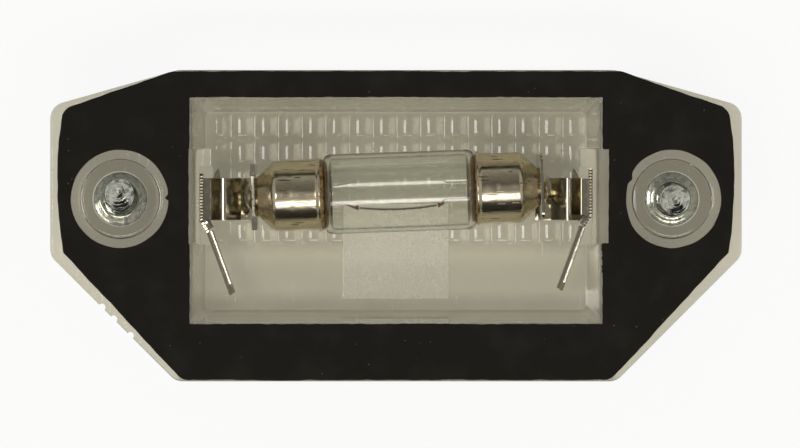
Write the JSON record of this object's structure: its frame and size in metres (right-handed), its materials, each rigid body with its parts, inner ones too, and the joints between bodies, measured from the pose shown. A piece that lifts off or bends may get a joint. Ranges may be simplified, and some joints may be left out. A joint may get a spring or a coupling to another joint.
{
  "type": "number plate lamp",
  "caption": "Number plate lamp with clear lens housing, foam gasket, festoon bulb between spring contacts, and fixing screws, seen from its rear.",
  "frame": {"origin": "middle of the flange's outline, on the flat outer face of the lens", "axes": "+X along the lamp to the right as seen from the rear, +Y up on the car, +Z out of the rear towards the car"},
  "size_m": [0.0826, 0.0372, 0.0255],
  "materials": {
    "clear_plastic": "clear moulded plastic with a light smoky tone",
    "foam": "matt closed-cell foam",
    "tinned_sheet": "tinned spring sheet, semi-bright",
    "bulb_glass": "clear",
    "nickel": "bright nickel with fine scratches",
    "cement": "brown lamp cement",
    "solder": "dull solder",
    "lead": "oxidised wire",
    "tungsten": "dark coiled wire",
    "zinc": "bluish zinc plate"
  },
  "bodies": {
    "root": {"lens_housing": "clear_plastic", "foam_gasket": "foam", "contact_left": "tinned_sheet", "contact_right": "tinned_sheet", "bulb_glass": "bulb_glass", "bulb_cap_left": "nickel", "bulb_cap_right": "nickel", "cap_cement_left": "cement", "cap_cement_right": "cement", "solder_left": "solder", "solder_right": "solder", "lead_wire_left": "lead", "lead_wire_right": "lead", "filament": "tungsten", "screw_left": "zinc", "screw_right": "zinc"}
  },
  "joints": []
}
